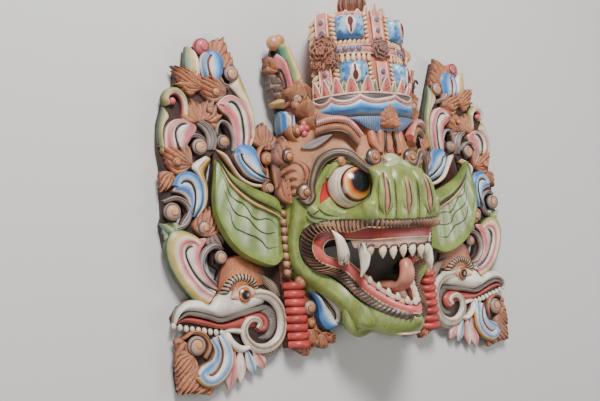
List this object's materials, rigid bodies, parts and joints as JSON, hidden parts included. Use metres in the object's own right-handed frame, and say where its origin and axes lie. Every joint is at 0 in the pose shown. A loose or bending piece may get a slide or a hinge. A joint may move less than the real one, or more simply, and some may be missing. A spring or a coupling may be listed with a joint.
{
  "type": "barong mask",
  "caption": "Carved and painted wooden beast mask with bulging eyes, an open fanged mouth, a tall crown, ears and openwork side boards; hollow back.",
  "frame": {"origin": "middle of the mask's footprint, on the plane of its flat back", "axes": "+X across the face to the viewer's right, +Y up to the crown, +Z out of the face; the mask lies on its back"},
  "size_m": [0.622, 0.5592, 0.1431],
  "materials": {
    "face_paint": "aged semi-gloss paint on carved wood",
    "crown_paint": "aged semi-gloss paint on carved wood",
    "tongue_paint": "aged semi-gloss paint on carved wood",
    "board_paint": "aged semi-gloss paint on carved wood",
    "ear_paint": "aged semi-gloss paint on carved wood",
    "plume_paint": "aged semi-gloss paint on carved wood",
    "fang_white": "aged semi-gloss paint on carved wood"
  },
  "bodies": {
    "root": {"head": "face_paint", "crown": "crown_paint", "tongue": "tongue_paint", "left_wing": "board_paint", "right_wing": "board_paint", "left_ear": "ear_paint", "right_ear": "ear_paint", "left_plume": "plume_paint", "right_plume": "plume_paint", "left_upper_fang": "fang_white", "right_upper_fang": "fang_white", "left_lower_fang": "fang_white", "right_lower_fang": "fang_white"}
  },
  "joints": []
}
